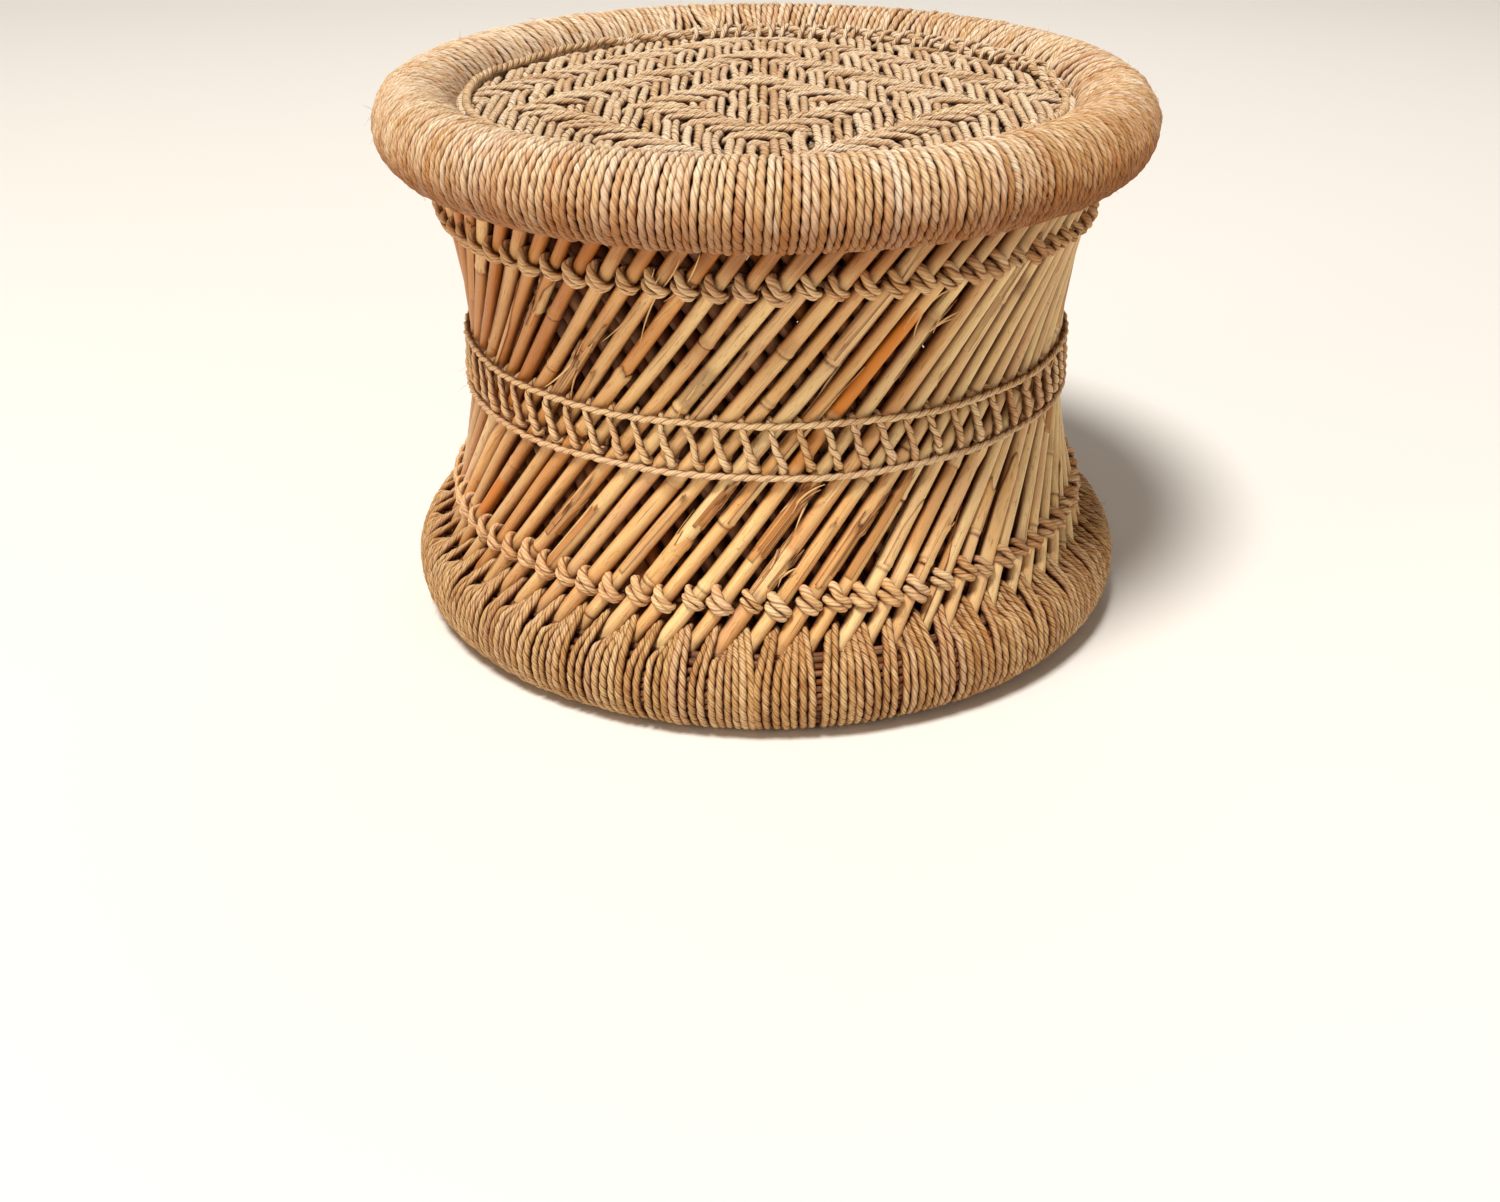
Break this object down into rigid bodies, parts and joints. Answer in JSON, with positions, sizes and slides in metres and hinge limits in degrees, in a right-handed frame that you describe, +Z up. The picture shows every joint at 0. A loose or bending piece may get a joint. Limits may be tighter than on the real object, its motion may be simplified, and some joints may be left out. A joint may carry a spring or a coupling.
{
  "type": "mudda stool",
  "caption": "Round stool of crossed reed canes drawn in at the waist, held between two rope-wound rings, with a sunken woven rope seat and tied rope bands.",
  "frame": {"origin": "centre of the face that the base ring stands on", "axes": "+Z up along the stool's axis of symmetry; +X and +Y across, with a group of canes crossing the waist on +X"},
  "size_m": [0.45, 0.45, 0.32],
  "materials": {
    "cane": "dried reed with a faint sheen",
    "rope": "two-ply grass rope, matt and hairy",
    "bundle": "reddish reeds laid in a bundle",
    "seat": "grass rope woven in a diamond twill, matt"
  },
  "bodies": {
    "root": {"top_ring_outer_bundle": "bundle", "top_ring_inner_bundle": "bundle", "top_ring_wrap": "rope", "base_ring_outer_bundle": "bundle", "base_ring_inner_bundle": "bundle", "base_ring_wrap": "rope", "seat_weave": "seat", "seat_border_rope": "rope", "upper_knot_rope": "rope", "lower_knot_rope": "rope", "upper_waist_rope": "rope", "lower_waist_rope": "rope", "waist_lacing": "rope", "cane_group_01": "cane", "cane_group_02": "cane", "cane_group_03": "cane", "cane_group_04": "cane", "cane_group_05": "cane", "cane_group_06": "cane", "cane_group_07": "cane", "cane_group_08": "cane", "cane_group_09": "cane", "cane_group_10": "cane", "cane_group_11": "cane", "cane_group_12": "cane", "cane_group_13": "cane", "cane_group_14": "cane", "cane_group_15": "cane", "cane_group_16": "cane", "cane_group_17": "cane", "cane_group_18": "cane", "cane_group_19": "cane", "cane_group_20": "cane", "cane_group_21": "cane", "cane_group_22": "cane", "cane_group_23": "cane", "cane_group_24": "cane", "cane_group_25": "cane", "cane_group_26": "cane", "cane_group_27": "cane", "cane_group_28": "cane", "cane_group_29": "cane", "cane_group_30": "cane", "cane_group_31": "cane", "cane_group_32": "cane", "cane_group_33": "cane", "cane_group_34": "cane", "cane_group_35": "cane", "cane_group_36": "cane", "cane_group_37": "cane", "cane_group_38": "cane"}
  },
  "joints": []
}
